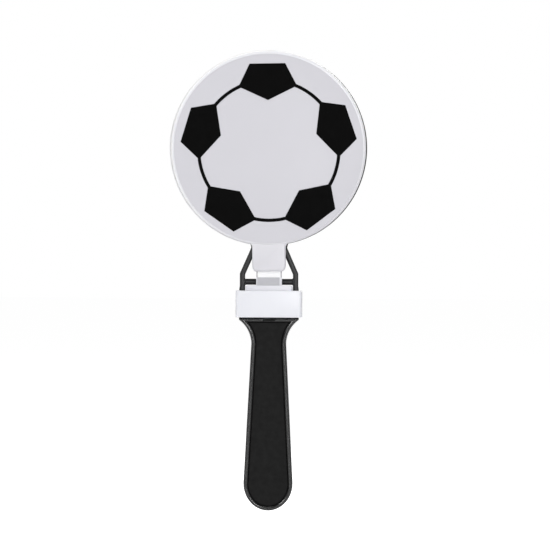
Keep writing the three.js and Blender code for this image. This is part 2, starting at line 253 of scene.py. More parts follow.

# %% [markdown]
# ## Tints
#
# White plastic looks greyer where it is thin and something black lies behind it, and whiter where it is
# thick. Some tints are painted light and shade as well: the clappers' rims whiten towards the upper left,
# their outer edges carry a painted highlight, and the web's side edges carry painted shade. Painting such
# zones by hand would need a UV map. Here a zone is where some value, such as a distance in Object
# coordinates, passes from a start to a stop, and `tint` mixes a colour in there.


# %% Helpers for tints
def distances(tree, centre):
    """How far the surface is from a point along X, Y and Z, as three sockets."""
    where = add(tree, "ShaderNodeTexCoord", {}).outputs["Object"]
    off = add(tree, "ShaderNodeVectorMath", {0: where, 1: centre}, operation="SUBTRACT")
    size = add(tree, "ShaderNodeVectorMath", {0: off.outputs[0]}, operation="ABSOLUTE")
    return add(tree, "ShaderNodeSeparateXYZ", {0: size.outputs[0]}).outputs


def tint(material, colour, value, start, stop, most=1.0):
    """Mixes a colour into a finish as a value goes from start to stop, up to the share `most`."""
    tree = material.node_tree
    shader = tree.nodes["Principled BSDF"]
    limits = {"Value": value, "From Min": start, "From Max": stop, "To Max": most}
    share = add(tree, "ShaderNodeMapRange", limits)
    plain = shader.inputs["Base Color"].links[0].from_socket
    inputs = {"Factor": share.outputs["Result"], "A": plain, "B": linear(colour)}
    mixed = add(tree, "ShaderNodeMix", inputs, data_type="RGBA")
    tree.links.new(mixed.outputs["Result"], shader.inputs["Base Color"])
    return material


# %% [markdown]
# ## The white finishes
#
# The clappers are white polypropylene from a polished mould: smooth, and a little see-through, so light
# soaks in. Their rims are thick and look whiter than their faces; that tint is also painted light,
# strongest at the upper left and gone at the lower right, and the outer edge carries a painted highlight.
# The waves that the mould left are drawn a millimetre wide, coarser than the real ones, and hardly show.
# Subsurface costs render time, but without it white plastic looks like paint.


# %% The clappers' plastic
# Painted light: the rim tint is strongest at the upper left, and the white edge is a painted highlight.
RIM_START = 48.8 * mm  # from the clapper's centre
EDGE_START = 50.2 * mm
RIM_FADE = 0.7 * mm
PAINTED_LIGHT_SIDE = math.radians(27)  # the rim is whitest this far left of its top
PAINTED_LIGHT_START = -1.0  # in disc radii towards that side, where the white starts
PAINTED_LIGHT_FULL = 0.4  # and where it is full


def white_plastic(name, colour, darker, roughness):
    """White polypropylene, which lets light in by about a millimetre."""
    return plastic(
        name,
        colour,
        darker,
        roughness,
        grain=1.0 * mm,
        grain_depth=0.004 * mm,
        Subsurface_Weight=0.25,
        Subsurface_Radius=(1.0, 0.95, 0.9),
        Subsurface_Scale=1.2 * mm,
    )


def clapper_plastic(side):
    """A clapper's plastic: thick rim whiter, edge whitest, with painted light from the upper left."""
    material = white_plastic("White polypropylene, " + side + " clapper", "#DBDADF", "#D5D4DA", 0.32)
    tree = material.node_tree
    low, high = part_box(side + "_clapper")
    centre = ((low.x + high.x) / 2, 0, high.z - disc_radius)
    where = add(tree, "ShaderNodeTexCoord", {}).outputs["Object"]
    off = add(tree, "ShaderNodeVectorMath", {0: where, 1: centre}, operation="SUBTRACT")
    flat = add(tree, "ShaderNodeVectorMath", {0: off.outputs[0], 1: (1, 0, 1)}, operation="MULTIPLY")
    away = add(tree, "ShaderNodeVectorMath", {0: flat.outputs[0]}, operation="LENGTH").outputs["Value"]
    whitest = (-math.sin(PAINTED_LIGHT_SIDE), 0, math.cos(PAINTED_LIGHT_SIDE))
    along = add(tree, "ShaderNodeVectorMath", {0: flat.outputs[0], 1: whitest}, operation="DOT_PRODUCT")
    limits = {"From Min": PAINTED_LIGHT_START * disc_radius, "From Max": PAINTED_LIGHT_FULL * disc_radius}
    upper = add(tree, "ShaderNodeMapRange", {"Value": along.outputs["Value"]} | limits).outputs["Result"]
    # Painted light: both tints fade out towards the lower right; the white edge is a painted highlight.
    for colour, start in (("#E8E8EC", RIM_START), ("#FFFFFF", EDGE_START)):
        tint(material, colour, away, start, start + RIM_FADE, upper)
    return material


clapper_pp = {side: clapper_plastic(side) for side in SIDES}
print("clapper finishes:", [material.name for material in clapper_pp.values()])

# %% [markdown]
# ## The other white finishes
#
# The collar comes from another batch, whiter and a touch bluer. Where the thin web has bent, the plastic
# blushes, as polypropylene does; the web's pure white is partly that blush and partly painted light, and
# its grey side edges are painted shade. The tongue below it is thin too and lies on the black crossbar,
# which shows through. Letting light pass through the tongue would give that grey too, but with much
# noise, so it is a tint. The label is a printed film.

# %% Make the other white finishes
BAR_SHADE_X = -0.4 * mm
BAR_SHADE_RISE = 0.3 * mm  # above the crossbar's axis
BAR_SHADE_HALF = 5.9 * mm
BAR_SHADE_HEIGHT = 2.2 * mm
BAR_SHADE_SOFT = 0.25 * mm
# Painted shade: the web's side edges turn grey between these distances from its middle.
WEB_EDGE_START = 5.9 * mm
WEB_EDGE_FULL = 6.3 * mm


def foot_plastic():
    """Off-white, with a soft grey zone in the tongue."""
    material = white_plastic("White polypropylene over the crossbar", "#E4E4E9", "#E0E0E6", 0.36)
    tree = material.node_tree
    off = distances(tree, (BAR_SHADE_X, 0, bar_z + BAR_SHADE_RISE))
    limits = {"From Min": BAR_SHADE_HALF + BAR_SHADE_SOFT, "From Max": BAR_SHADE_HALF - BAR_SHADE_SOFT}
    across = add(tree, "ShaderNodeMapRange", {"Value": off["X"]} | limits).outputs["Result"]
    start, stop = BAR_SHADE_HEIGHT + BAR_SHADE_SOFT, BAR_SHADE_HEIGHT - BAR_SHADE_SOFT
    return tint(material, "#C0C0C5", off["Z"], start, stop, across)


def web_plastic():
    """An opaque, brighter white: blush and painted light, with painted shade along its edges."""
    # Pure white: partly blush, partly painted light.
    material = white_plastic("Hinge polypropylene, blush and painted light", "#FFFFFF", "#FBFBFD", 0.5)
    across = distances(material.node_tree, (0, 0, 0))["X"]
    # Painted shade along the film's side edges.
    return tint(material, "#8C8C92", across, WEB_EDGE_START, WEB_EDGE_FULL)


foot_pp = foot_plastic()
web_pp = web_plastic()
# Clean and bright, with soft highlights at its edges.
collar_pp = white_plastic("Bright white polypropylene", "#E9EAEF", "#E5E6EC", 0.33)
# Lacquer gives the film a satin face with even reflections.
label_film = plastic(
    "Printed film label",
    "#D1D0D6",
    "#CDCCD2",
    roughness=0.45,
    grain=0.8 * mm,
    grain_depth=0.004 * mm,
    patch=30 * mm,
)
print("white finishes:", [m.name for m in (foot_pp, web_pp, collar_pp, label_film)])

# %% [markdown]
# ## Skins
#
# A grip or a collar is a row of outlines joined into a skin. Subdivision could round a coarse mesh
# instead, but a skin puts every edge where its size says. `arc` gives the points of a rounded corner.
# `finish` cleans a mesh, shades it smooth up to an angle, so that crisp edges stay crisp, and gives it
# its material.


# %% Helpers for skins
def new_piece(name, points, faces, edges=()):
    """An object at the origin with a mesh of these points."""
    mesh = bpy.data.meshes.new(name)
    mesh.from_pydata(points, edges, faces)
    piece = bpy.data.objects.new(name, mesh)
    scene.collection.objects.link(piece)
    return piece


def skin(name, rings, closed=False):
    """Joins rings of as many points each. The last ring meets the first, or both ends get a cap."""
    count = len(rings[0])
    faces = []
    for r in range(len(rings) if closed else len(rings) - 1):
        one = r * count
        two = (r + 1) % len(rings) * count
        for i in range(count):
            j = (i + 1) % count
            faces.append((one + i, one + j, two + j, two + i))
    if not closed:
        faces.append(tuple(range(count)))
        faces.append(tuple(range((len(rings) - 1) * count, len(rings) * count)))
    return new_piece(name, [point for ring in rings for point in ring], faces)


def arc(across, up, size, start, stop, steps=6):
    """Points of a rounded corner round a centre, between two angles in degrees."""
    angles = [math.radians(start + (stop - start) * i / steps) for i in range(steps + 1)]
    return [(across + size * math.cos(a), up + size * math.sin(a)) for a in angles]


# %% Clean a mesh and give it its finish
MERGE = 0.001 * mm  # points closer than this are one


def merge_and_orient(piece):
    """Merges doubles and turns faces outwards."""
    work = bmesh.new()
    work.from_mesh(piece.data)
    bmesh.ops.remove_doubles(work, verts=work.verts, dist=MERGE)
    bmesh.ops.dissolve_degenerate(work, edges=work.edges, dist=MERGE / 10)
    bmesh.ops.recalc_face_normals(work, faces=work.faces)
    work.to_mesh(piece.data)
    work.free()
    return piece


def finish(piece, material, sharp=35):
    """Cleans a piece, shades it smooth up to an angle, and gives it its finish."""
    merge_and_orient(piece)
    piece.data.shade_smooth()
    piece.data.set_sharp_from_angle(angle=math.radians(sharp))
    piece.data.materials.clear()
    piece.data.materials.append(material)
    return piece


# %% [markdown]
# ## The grip
#
# The grip is a flat handle with a bead round its edge and a sunk panel on both faces. Its outline starts
# with a short lip at the collar, flares in to a waist for the fingers, widens slowly and ends in a round
# butt. A tube along the outline could be the bead, but on the real grip bead and panel are one surface.
# So the grip is a skin of copies of the outline: each is drawn in by some inset, at some depth, and
# together they form the bead's section, with a narrow groove between the bead and the round edge of the
# panel.

# %% Draw the grip's outline
SEAT_GAP = 0.15 * mm  # between pieces that sit on each other
WAIST_DROP = 14.0 * mm  # below the collar
WAIST_HALF = 9.1 * mm
FLARE_RADIUS = 16.0 * mm
BUTT_HALF = 12.9 * mm
BUTT_LENGTH = 14.2 * mm
LIP_HALF = 15.65 * mm
collar_low, collar_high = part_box("collar")
grip_top = collar_low.z - SEAT_GAP


def grip_outline(inset, steps=48):
    """The grip's outline, drawn in by inset, as (x, z) points with the same count for every inset."""
    top = grip_top - inset
    waist_z = grip_top - WAIST_DROP
    butt_z = core_low.z + BUTT_LENGTH
    radius = FLARE_RADIUS + inset
    flare_x = WAIST_HALF + FLARE_RADIUS
    at_lip = math.acos((flare_x - LIP_HALF + inset) / radius)
    at_top = math.asin((top - waist_z) / radius)
    opening = min(at_lip, at_top)
    top_half = flare_x - radius * math.cos(opening)
    right = [(top_half * i / steps, top) for i in range(steps + 1)]
    for i in range(steps + 1):
        angle = opening * (1 - i / steps)
        right.append((flare_x - radius * math.cos(angle), waist_z + radius * math.sin(angle)))
    waist, butt = Vector((WAIST_HALF - inset, waist_z)), Vector((BUTT_HALF - inset, butt_z))
    right += [tuple(waist.lerp(butt, i / steps)) for i in range(1, steps)]
    for i in range(steps + 1):
        angle = math.pi / 2 * i / steps
        drop = (BUTT_LENGTH - inset) * math.sin(angle)
        right.append((butt.x * math.cos(angle), butt_z - drop))
    return right + [(-x, z) for x, z in right[-2:0:-1]]


print("grip from z", round(core_low.z / mm, 2), "to", round(grip_top / mm, 2), "mm")

# %% [markdown]
# ## The bead's section, and the gate
#
# At mid-depth the section steps out by a hair, which is the flash that a mould leaves where its halves
# meet. In the middle of the top bead is a shallow dip: the gate, where the plastic flowed in, was cut off
# there, so the dip's floor is as matt as the panel. A boolean could cut the dip, but it would break up
# the even rows of the skin, so the rows are pressed down there instead.

# %% Draw the bead's section
BEAD_RADIUS = 1.05 * mm
PANEL_DEPTH = 1.2 * mm
PANEL_EDGE = 0.4 * mm
GROOVE_WIDTH = 0.2 * mm
SIDE_DRAFT = 0.12 * mm
FLASH = 0.06 * mm
FLASH_ROOT = 0.15 * mm
grip_half = core_high.y
panel_level = grip_half - PANEL_DEPTH


def bead_section():
    """(inset, depth) points of the front half, from the panel out over the bead to mid-depth."""
    middle = SIDE_DRAFT + BEAD_RADIUS
    foot = middle + BEAD_RADIUS
    groove_floor = panel_level - PANEL_EDGE
    section = arc(foot + GROOVE_WIDTH + PANEL_EDGE, groove_floor, PANEL_EDGE, 90, 180)
    section += [(foot, groove_floor)]
    section += arc(middle, grip_half - BEAD_RADIUS, BEAD_RADIUS, 0, 180, steps=24)
    return section + [(0.0, FLASH_ROOT), (-FLASH, FLASH)]


front_section = bead_section()
back_section = [(inset, -depth) for inset, depth in reversed(front_section)]
print("bead section:", len(front_section), "points for each face")

# %% Make the grip
GATE_HALF = 3.6 * mm
GATE_DEPTH = 0.13 * mm
GATE_END = 0.3 * mm
GATE_REACH = 4 * mm  # below the grip's top, where the dip is looked for
HAIR = 0.01 * mm  # too small to see
FLAT = 0.99  # the depth part of a flat face's normal
NEARLY_FLAT = 0.9


def grip_ring(inset, depth):
    """One outline of the grip at its depth, kept below the dip that the gate left in the front face."""
    ring = []
    for x, z in grip_outline(inset):
        level = depth
        if depth > 0 and z >= grip_top - GATE_REACH and abs(x) <= GATE_HALF:
            dip = GATE_DEPTH * min((GATE_HALF - abs(x)) / GATE_END, 1)
            level = min(depth, grip_half - dip)
        ring.append(Vector((x, -level, z)))
    return ring


def in_gate(face):
    """Whether a face lies on the floor of the gate's dip."""
    x, y, z = face.center
    inside = abs(x) < GATE_HALF and z > grip_top - GATE_REACH
    on_floor = abs(-y - grip_half + GATE_DEPTH) < GATE_DEPTH / 2
    return inside and on_floor and -face.normal.y > FLAT


def on_panel(face):
    """Whether a face belongs to a panel or its groove."""
    return abs(face.normal.y) > NEARLY_FLAT and abs(face.center.y) < panel_level + HAIR


grip_rings = [grip_ring(inset, depth) for inset, depth in front_section + back_section]
grip = finish(skin("grip", grip_rings), bead_pp)
grip.data.materials.append(panel_pp)
for face in grip.data.polygons:
    if on_panel(face) or in_gate(face):
        face.material_index = 1
print("grip:", len(grip.data.polygons), "faces")

# %% [markdown]
# ## Plates
#
# A plate is a flat outline with a thickness and rounded edges. A mesh could be extruded and bevelled, but
# a 2D curve does both by its Extrude and Bevel settings, and an inner outline becomes a hole by itself.
# `rounded` draws an outline from corners with a radius each, and `mirrored` needs only its right half.


# %% Helpers for plates
def mirrored(right):
    """A right half of an outline, from bottom to top, and its mirror image."""
    return right + [(-x, *rest) for x, *rest in reversed(right)]


def rounded(corners, steps=8):
    """A closed outline through (x, z, radius) corners, each turned by an arc of its radius."""
    outline = []
    for i, (x, z, radius) in enumerate(corners):
        here = Vector((x, z))
        before = (Vector(corners[i - 1][:2]) - here).normalized()
        after = (Vector(corners[(i + 1) % len(corners)][:2]) - here).normalized()
        half = before.angle(after) / 2
        middle = here + (before + after).normalized() * radius / math.sin(half)
        start = here + before * radius / math.tan(half) - middle
        stop = here + after * radius / math.tan(half) - middle
        from_angle = math.atan2(start.y, start.x)
        turn = (math.atan2(stop.y, stop.x) - from_angle + math.pi) % math.tau - math.pi
        for step in range(steps + 1):
            angle = from_angle + turn * step / steps
            outline.append((middle.x + radius * math.cos(angle), middle.y + radius * math.sin(angle)))
    return outline


def plate(name, outlines, low, high, edge):
    """Flat outlines in X and Z, with a thickness from low to high in Y and rounded edges."""
    curve = bpy.data.curves.new(name, "CURVE")
    curve.dimensions = "2D"
    curve.fill_mode = "BOTH"
    curve.extrude = (high - low) / 2 - edge
    curve.bevel_depth = edge
    curve.bevel_resolution = 4
    curve.offset = -edge
    for outline in outlines:
        spline = curve.splines.new("POLY")
        spline.points.add(len(outline) - 1)
        for point, (x, z) in zip(spline.points, outline):
            point.co = (x, z, 0, 1)
        spline.use_cyclic_u = True
    sketch = bpy.data.objects.new(name, curve)
    scene.collection.objects.link(sketch)
    mesh = bpy.data.meshes.new_from_object(sketch.evaluated_get(bpy.context.evaluated_depsgraph_get()))
    bpy.data.objects.remove(sketch)
    mesh.transform(Matrix.Translation((0, (low + high) / 2, 0)) @ Matrix.Rotation(math.pi / 2, 4, "X"))
    mesh.name = name
    piece = bpy.data.objects.new(name, mesh)
    scene.collection.objects.link(piece)
    return piece


# %% [markdown]
# ## What modifiers and Geometry Nodes need
#
# A modifier is a recipe that stays live. When a piece is done, its modifiers are baked: the evaluated
# mesh replaces the old one. A Geometry Nodes tree has named inputs, but a modifier knows each by an
# identifier.
# `new_tree` adds the inputs, and `grow` looks the identifiers up, sets the values and bakes.


# %% Helpers for modifiers
def bake(piece):
    """Replaces a piece's mesh by its evaluated one and removes its modifiers."""
    bpy.context.view_layer.update()
    depsgraph = bpy.context.evaluated_depsgraph_get()
    mesh = bpy.data.meshes.new_from_object(piece.evaluated_get(depsgraph))
    piece.modifiers.clear()
    piece.data = mesh
    mesh.name = piece.name
    return piece


def title(label):
    """The name of a tree's input, from the word that stands for it in Python."""
    return label.replace("_", " ").capitalize()


def new_tree(name, **inputs):
    """A Geometry Nodes tree with a geometry in and out, and a named input for each value given."""
    tree = bpy.data.node_groups.new(name, "GeometryNodeTree")
    for direction in ("INPUT", "OUTPUT"):
        tree.interface.new_socket("Geometry", in_out=direction, socket_type="NodeSocketGeometry")
    kinds = {int: "NodeSocketInt", float: "NodeSocketFloat", str: "NodeSocketMaterial"}
    for label, value in inputs.items():
        kind = kinds[type(value)]
        socket = tree.interface.new_socket(title(label), in_out="INPUT", socket_type=kind)
        if not isinstance(value, str):
            socket.default_value = value
    return tree, tree.nodes.new("NodeGroupInput").outputs


def close_tree(tree, geometry, material):
    """Ends a tree: makes copies real, gives the finish, and hands the geometry over."""
    real = add(tree, "GeometryNodeRealizeInstances", {0: geometry})
    done = add(tree, "GeometryNodeSetMaterial", {"Geometry": real.outputs[0], "Material": material})
    add(tree, "NodeGroupOutput", {0: done.outputs[0]})
    return tree


def grow(piece, tree, **values):
    """Runs a tree on a piece with the values given for its named inputs, and bakes the result."""
    sockets = [item for item in tree.interface.items_tree if item.in_out == "INPUT"]
    identifiers = {socket.name: socket.identifier for socket in sockets}
    modifier = piece.modifiers.new(tree.name, "NODES")
    modifier.node_group = tree
    for label, value in values.items():
        modifier[identifiers[title(label)]] = value
    return bake(piece)


# %% [markdown]
# ## Round pieces
#
# The clappers, the striker, the labels and the crossbar are round, so their shape follows one rule: a
# profile is turned about an axis. The Screw modifier could do that. This tree does it with named inputs,
# by sweeping a line of points round a circle, and where the line reaches the axis, Merge by Distance
# closes the pole. `stand_up` then brings the piece from its drawing board, flat on the floor, to its
# place.


# %% The tree that turns a profile
def turning_tree():
    """Sweeps the line that the piece is round a circle of its widest radius."""
    tree, given = new_tree("Turned moulding", radius=0.05, steps=256, material="")
    profile = add(tree, "GeometryNodeMeshToCurve", {"Mesh": given["Geometry"]})
    sizes = {"Resolution": given["Steps"], "Radius": given["Radius"]}
    circle = add(tree, "GeometryNodeCurvePrimitiveCircle", sizes)
    level = add(tree, "GeometryNodeSetCurveNormal", {"Curve": circle.outputs[0]}, mode="Z_UP")
    sweep = {"Curve": level.outputs[0], "Profile Curve": profile.outputs[0]}
    swept = add(tree, "GeometryNodeCurveToMesh", sweep)
    closed = add(tree, "GeometryNodeMergeByDistance", {"Geometry": swept.outputs[0], "Distance": MERGE})
    return close_tree(tree, closed.outputs[0], given["Material"])


turning = turning_tree()


def turned(name, profile, material, steps=256):
    """Turns (radius, height) points, from axis to axis, about the Z axis."""
    widest = max(radius for radius, height in profile)
    points = [(radius - widest, -height, 0) for radius, height in profile]
    line = new_piece(name, points, [], [(i, i + 1) for i in range(len(points) - 1)])
    return grow(line, turning, radius=widest, steps=steps, material=material)


def stand_up(piece, centre):
    """Stands a flat piece up, so that what grew upwards faces the front, and moves it to its centre."""
    piece.data.transform(Matrix.Translation(centre) @ Matrix.Rotation(math.pi / 2, 4, "X"))
    return piece


print("turning tree:", len(turning.nodes), "nodes")

# %% [markdown]
# ## The frame and its crossbar
#
# Two legs rise out of the collar, bend inwards and run into the striker. A round bar joins them. On the
# moulding every junction is softened by a small fillet, because sharp inner corners crack. Modelling each
# fillet by hand is slow, so the legs and the bar are simply pushed through each other, and a Remesh
# modifier in Voxel mode wraps them in one even skin. A Smooth modifier then melts the creases to fillets.
# Near the striker the legs get as thin as its rim, to leave room for the clappers.

# %% Draw the legs
FRAME_HALF = 15.35 * mm
FRAME_DEPTH = 2.2 * mm  # half of the thickness
FRAME_EDGE = 1.0 * mm
FRAME_ROOT = 1.68 * mm  # the frame runs this far into the striker's rim
LEG_WIDTH = 2.8 * mm
LEG_RISE = 4.4 * mm  # crossbar axis to the bend
LIP_REACH = 0.8 * mm  # the legs run this far into the grip's lip
BRACE_HALF = 8.9 * mm  # centre line to the brace's outside, at the striker
BRACE_FLARE = 0.8 * mm  # it widens by this much where it meets the striker
FLARE_DROP = 1.1 * mm
DISC_RISE = 19.1 * mm
STRIKER_RIM = 2.4 * mm
WINDOW_DROP = 13.9 * mm
NIB = 0.35 * mm
NIB_HEIGHT = 2.2 * mm
NIB_CORNER = 0.1 * mm
NIB_FADE = 0.8 * mm
BEND_CORNER = 1.0 * mm
HIDDEN_CORNER = 0.2 * mm
WINDOW_CORNER = 0.4 * mm
CROWN_CORNER = 2.2 * mm
brace_lean = (FRAME_HALF - BRACE_HALF) / (DISC_RISE - LEG_RISE)
leg_inside = FRAME_HALF - LEG_WIDTH


def above_bar(outline):
    """An outline with heights above the crossbar, moved to its place."""
    return [(x, bar_z + z) for x, z in outline]


def frame_outline():
    """The frame's outside, up to where it ends inside the striker's rim."""
    nib = collar_high.z + SEAT_GAP - bar_z
    flare = DISC_RISE - FLARE_DROP
    flare_half = FRAME_HALF - brace_lean * (flare - LEG_RISE)
    right = [
        (FRAME_HALF, grip_top - LIP_REACH - bar_z, HIDDEN_CORNER),
        (FRAME_HALF, nib, NIB_CORNER),
        (FRAME_HALF + NIB, nib, NIB_CORNER),
        (FRAME_HALF, nib + NIB_HEIGHT, NIB_FADE),
        (FRAME_HALF, LEG_RISE, BEND_CORNER),
        (flare_half, flare, BEND_CORNER),
        (flare_half + BRACE_FLARE, DISC_RISE + FRAME_ROOT, HIDDEN_CORNER),
    ]
    return above_bar(rounded(mirrored(right)))


def window_outline():
    """The opening between the legs, from the grip up to the striker."""
    bend = LEG_RISE - LEG_WIDTH * math.tan(math.atan(brace_lean) / 2)
    top = DISC_RISE - STRIKER_RIM
    right = [
        (leg_inside, -WINDOW_DROP, WINDOW_CORNER),
        (leg_inside, bend, BEND_CORNER),
        (leg_inside - brace_lean * (top - bend), top, CROWN_CORNER),
    ]
    return above_bar(rounded(mirrored(right)))


open_frame = plate("frame", [frame_outline(), window_outline()], -FRAME_DEPTH, FRAME_DEPTH, FRAME_EDGE)
print("legs:", len(open_frame.data.polygons), "faces")

# %% Wrap the legs and the crossbar in one skin
BAR_RADIUS = 1.6 * mm
BAR_FILLET = 0.5 * mm
THIN_DEPTH = 1.4 * mm
THIN_LENGTH = 1.5 * mm  # over which the legs get thin
VOXEL = 0.2 * mm


def crossbar():
    """A round bar along X whose ends widen into the legs."""
    end = FRAME_HALF - LEG_WIDTH / 2
    wide = BAR_RADIUS + BAR_FILLET
    half = [(0.0, end), (wide, end)]
    half += arc(wide, leg_inside - BAR_FILLET, BAR_FILLET, 90, 180)
    bar = turned("crossbar", half + [(r, -x) for r, x in reversed(half)], frame_pp, steps=48)
    bar.data.transform(Matrix.Translation((0, 0, bar_z)) @ Matrix.Rotation(math.pi / 2, 4, "Y"))
    return bar


def fused(piece, other, voxel, smoothing):
    """Wraps overlapping pieces in one skin of small squares, and melts the creases between them."""
    work = bmesh.new()
    for part in (piece, other):
        merge_and_orient(part)
        work.from_mesh(part.data)
    work.to_mesh(piece.data)
    work.free()
    bpy.data.objects.remove(other)
    wrap = piece.modifiers.new("Remesh", "REMESH")
    wrap.mode = "VOXEL"
    wrap.voxel_size = voxel
    melt = piece.modifiers.new("Smooth", "SMOOTH")
    melt.factor = 0.5
    melt.iterations = smoothing
    return bake(piece)


def thin_towards(piece, start, stop, share):
    """Scales the depth of a piece down to a share, between two heights."""
    for point in piece.data.vertices:
        climb = min(max((point.co.z - start) / (stop - start), 0), 1)
        point.co.y *= 1 + (share - 1) * climb


fused(open_frame, crossbar(), VOXEL, smoothing=4)
thin_start = bar_z + DISC_RISE - STRIKER_RIM
thin_towards(open_frame, thin_start, thin_start + THIN_LENGTH, THIN_DEPTH / FRAME_DEPTH)
finish(open_frame, frame_pp, sharp=180)
print("frame:", len(open_frame.data.polygons), "faces")

# %% [markdown]
# ## Marks of the ejector pins
#
# Pins push a moulding out of its mould, and each leaves a round mark. Six stand in a ring on the
# striker's back and inside each clapper. Copying an object six times by hand would do, but the print
# needs a ring of copies too. So one small tree puts copies of a piece on as many points and turns each by
# its share of the circle. A boolean then joins the marks to their piece, in one clean skin.


# %% The tree that copies round a ring
def ring_tree():
    """Copies the piece round the Z axis."""
    tree, given = new_tree("Ring of copies", copies=5, material="")
    step = add(tree, "ShaderNodeMath", {0: math.tau, 1: given["Copies"]}, operation="DIVIDE")
    index = add(tree, "GeometryNodeInputIndex", {})
    angle = add(tree, "ShaderNodeMath", {0: index.outputs[0], 1: step.outputs[0]}, operation="MULTIPLY")
    spin = add(tree, "ShaderNodeCombineXYZ", {"Z": angle.outputs[0]})
    points = add(tree, "GeometryNodePoints", {"Count": given["Copies"]})
    where = {"Points": points.outputs[0], "Instance": given["Geometry"], "Rotation": spin.outputs[0]}
    copies = add(tree, "GeometryNodeInstanceOnPoints", where)
    return close_tree(tree, copies.outputs[0], given["Material"])


ring = ring_tree()
print("ring tree:", len(ring.nodes), "nodes")

# %% Helpers for the marks
PINS = 6
PIN_RADIUS = 2.5 * mm
PIN_PROUD = 0.25 * mm
PIN_ROOT = 0.3 * mm


def pin_marks(distance, surface, material):
    """A ring of round marks that stand a little proud of a surface that faces the back."""
    low, high = surface - PIN_PROUD, surface + PIN_ROOT
    profile = [(0, low), (PIN_RADIUS, low), (PIN_RADIUS, high), (0, high)]
    mark = turned("marks", profile, material, steps=32)
    mark.data.transform(Matrix.Translation((0, distance, 0)))
    return stand_up(grow(mark, ring, copies=PINS, material=material), disc_centre)


def boolean(piece, other, operation):
    """Joins another piece to this one, or cuts it away, and removes the other."""
    merge_and_orient(piece)
    merge_and_orient(other)
    change = piece.modifiers.new("Boolean", "BOOLEAN")
    change.operation = operation
    change.solver = "EXACT"
    change.object = other
    bake(piece)
    bpy.data.objects.remove(other)
    return piece


# %% [markdown]
# ## The striker
#
# The middle disc is hit from both sides. It is a thin plate with a thicker rim, and the rim is what
# clacks. It could be cut from a plate, but a turned profile gives plate, slope and rim in one go.

# %% Make the striker
STRIKER_RIM_HALF = 1.5 * mm
STRIKER_WEB_HALF = 1.0 * mm
STRIKER_ROUND = 0.7 * mm
STRIKER_PINS = 36 * mm  # from the centre
RIM_SLOPE = 0.8 * mm
RIM_ROUND = 0.3 * mm


def striker_profile():
    """Half of the striker's section, from its middle over the rim and back."""
    inner = disc_radius - STRIKER_RIM
    front = [(0.0, STRIKER_WEB_HALF)]
    front += arc(inner - RIM_SLOPE, STRIKER_WEB_HALF + RIM_SLOPE, RIM_SLOPE, -90, -45, steps=3)
    front += arc(inner + RIM_ROUND, STRIKER_RIM_HALF - RIM_ROUND, RIM_ROUND, 135, 90, steps=3)
    front += arc(disc_radius - STRIKER_ROUND, STRIKER_RIM_HALF - STRIKER_ROUND, STRIKER_ROUND, 90, 0)
    return front + [(radius, -depth) for radius, depth in reversed(front)]


striker = stand_up(turned("striker", striker_profile(), frame_pp), disc_centre)
boolean(striker, pin_marks(STRIKER_PINS, -STRIKER_WEB_HALF, frame_pp), "UNION")
finish(striker, frame_pp)
print("striker:", len(striker.data.polygons), "faces")

# %% [markdown]
# ## The clappers
#
# A clapper is a shallow round pan, open towards the striker, with a short flat neck. The pan is turned.
# The neck is a skin of outlines, like the grip: its sides are rounded towards the front only, and its
# back has two pockets, so that the plastic is about as thick everywhere and cools evenly. A subdivision
# surface would melt neck and pan together, but the real step between them is crisp, so booleans join and
# cut them.

# %% Draw the pan
PAN_RIM = 1.9 * mm
PAN_WALL = 1.6 * mm
PAN_EDGE = 1.2 * mm
PAN_FILLET = 0.7 * mm
PAN_PINS = 32 * mm  # from the centre
LIP_EDGE = 0.25 * mm
pan_low, pan_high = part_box("front_clapper")
pan_front = -pan_low.y
pan_back = -pan_high.y
pan_floor = pan_front - PAN_WALL


def pan_profile():
    """Half of the pan's section, from its floor over the lip to its front."""
    inside = disc_radius - PAN_RIM
    profile = [(0.0, pan_floor)]
    profile += arc(inside - PAN_FILLET, pan_floor - PAN_FILLET, PAN_FILLET, 90, 0)
    profile += arc(inside + LIP_EDGE, pan_back + LIP_EDGE, LIP_EDGE, 180, 270, steps=3)
    profile += arc(disc_radius - LIP_EDGE, pan_back + LIP_EDGE, LIP_EDGE, -90, 0, steps=3)
    profile += arc(disc_radius - PAN_EDGE, pan_front - PAN_EDGE, PAN_EDGE, 0, 90, steps=8)
    return profile + [(0.0, pan_front)]


print("pan:", round((pan_front - pan_back) / mm, 2), "mm deep")

# %% Draw the neck and its pockets
NECK_HALF = 8.8 * mm
NECK_CORNER_WIDTH = 2.1 * mm
NECK_CORNER_RISE = 3.4 * mm
NECK_EDGE = 1.2 * mm
NECK_STEP = 0.4 * mm
NECK_BACK = 2.5 * mm
NECK_BACK_EDGE = 0.2 * mm
NECK_FOOT_RISE = 5.45 * mm  # above the crossbar
NECK_ROOT = 1.7 * mm  # the neck runs this far into the pan's rim
NECK_FILLET = 2.4 * mm
FILLET_DROP = 1.0 * mm  # the fillet starts this far below the disc
FILLET_TURN = 80  # degrees that it turns at most
NECK_RIB = 1.4 * mm
POCKET_DEPTH = 1.0 * mm
POCKET_RISE = 2.4 * mm  # plastic between the pockets and the neck's end
POCKET_CORNER = 0.5 * mm
POCKET_EDGE = 0.2 * mm


